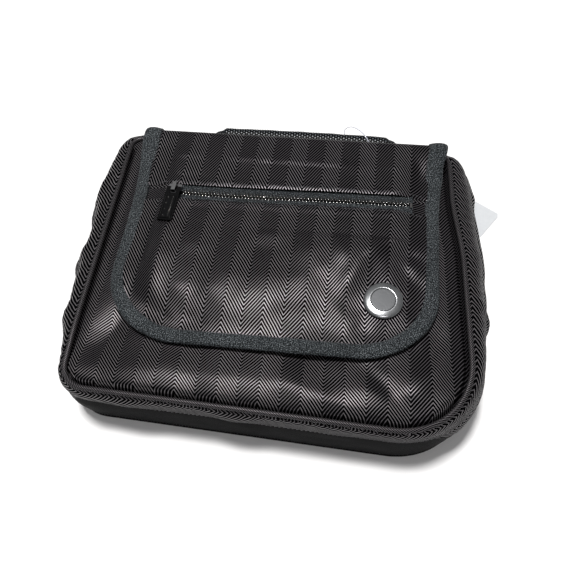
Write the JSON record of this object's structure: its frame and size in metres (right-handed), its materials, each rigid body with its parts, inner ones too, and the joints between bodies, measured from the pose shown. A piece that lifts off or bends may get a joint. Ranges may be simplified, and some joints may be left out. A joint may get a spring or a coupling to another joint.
{
  "type": "hanging toiletry bag",
  "caption": "Soft hanging toiletry bag with a bound front flap, zipped flap pocket, round badge, padded carry handle and fold-out hook.",
  "frame": {"origin": "middle of the back panel's resting face, with the bag lying on its back", "axes": "+X across the width, +Y towards the carry handle, +Z out of the front face"},
  "size_m": [0.322, 0.2758, 0.0713],
  "materials": {
    "herringbone": "woven herringbone nylon, satin sheen",
    "plain_nylon": "plain smooth nylon",
    "binding_tape": "ribbed edge tape",
    "lining_cloth": "plain lining",
    "elastic": "knitted elastic",
    "board": "stiffening board",
    "webbing": "twill webbing",
    "grip_leatherette": "glossy pebbled leatherette",
    "zip_tape": "woven zip tape",
    "gunmetal": "dark polished metal",
    "slider_nickel": "dark nickel",
    "black_enamel": "gloss black enamel",
    "satin_silver": "satin silver",
    "inlay_silver": "knurled silver",
    "magnet_steel": "plated steel",
    "black_plastic": "moulded plastic",
    "tag_card": "coated card, stands for paper",
    "clear_nylon": "clear nylon"
  },
  "bodies": {
    "bag": {"front_panel": "herringbone", "front_lining": "lining_cloth", "back_board": "board", "back_lining": "lining_cloth", "back_panel": "herringbone", "side_gusset_left": "herringbone", "side_gusset_right": "herringbone", "bottom_strip": "herringbone", "bottom_band": "plain_nylon", "front_welt": "herringbone", "back_welt": "plain_nylon", "top_gusset": "herringbone", "top_cover": "herringbone", "cover_binding_left": "binding_tape", "cover_binding_right": "binding_tape", "inner_pocket": "lining_cloth", "pocket_elastic": "elastic", "main_tape_upper": "zip_tape", "main_tape_lower": "zip_tape", "main_teeth_upper": "gunmetal", "main_teeth_lower": "gunmetal", "main_zip_stops": "gunmetal", "front_magnet": "magnet_steel", "handle_patch_left": "webbing", "handle_patch_right": "webbing", "hook_pin": "magnet_steel", "hook_bracket": "black_plastic", "swing_tag": "tag_card", "tag_lock": "clear_nylon", "tag_loop": "clear_nylon"},
    "flap": {"flap_lower": "herringbone", "flap_upper": "herringbone", "flap_lining": "lining_cloth", "flap_zip_end_left": "herringbone", "flap_zip_end_right": "herringbone", "flap_binding": "binding_tape", "flap_tape_upper": "zip_tape", "flap_tape_lower": "zip_tape", "flap_teeth_upper": "gunmetal", "flap_teeth_lower": "gunmetal", "flap_zip_stops": "gunmetal", "badge_disc": "satin_silver", "badge_inlay": "inlay_silver", "badge_washer": "magnet_steel", "flap_magnet": "magnet_steel"},
    "flap_slider": {"flap_slider": "slider_nickel", "flap_slider_bridge": "slider_nickel"},
    "flap_pull": {"pull_tab": "black_enamel", "pull_inlay": "black_enamel"},
    "main_slider": {"main_slider": "slider_nickel", "main_pull": "black_enamel"},
    "handle": {"handle_strap": "webbing", "handle_grip": "grip_leatherette"},
    "hook": {"hanging_hook": "black_plastic"}
  },
  "joints": [
    {"name": "flap_hinge", "type": "hinge", "parent": "bag", "child": "flap", "pos_m": [0, 0.1122, 0.0676], "axis": [-1, 0, 0], "range_deg": [0, 180]},
    {"name": "flap_zip_slide", "type": "slide", "parent": "flap", "child": "flap_slider", "axis": [1, 0, 0], "range_m": [0, 0.168], "deforming": ["flap_teeth_upper", "flap_teeth_lower", "flap_tape_upper", "flap_tape_lower"]},
    {"name": "flap_pull_swing", "type": "hinge", "parent": "flap_slider", "child": "flap_pull", "pos_m": [-0.083, 0.0485, 0.069], "axis": [-1, 0, 0], "range_deg": [0, 175]},
    {"name": "main_zip_slide", "type": "slide", "parent": "bag", "child": "main_slider", "axis": [1, 0, 0], "range_m": [0, 0.184], "deforming": ["main_teeth_upper", "main_teeth_lower", "main_tape_upper", "main_tape_lower"]},
    {"name": "handle_swing", "type": "hinge", "parent": "bag", "child": "handle", "pos_m": [0.004, 0.1228, 0.037], "axis": [1, 0, 0], "range_deg": [-40, 75], "deforming": ["tag_loop"]},
    {"name": "hook_fold", "type": "hinge", "parent": "bag", "child": "hook", "pos_m": [0, 0.122, 0.012], "axis": [0, 0, 1], "range_deg": [0, 90]}
  ]
}
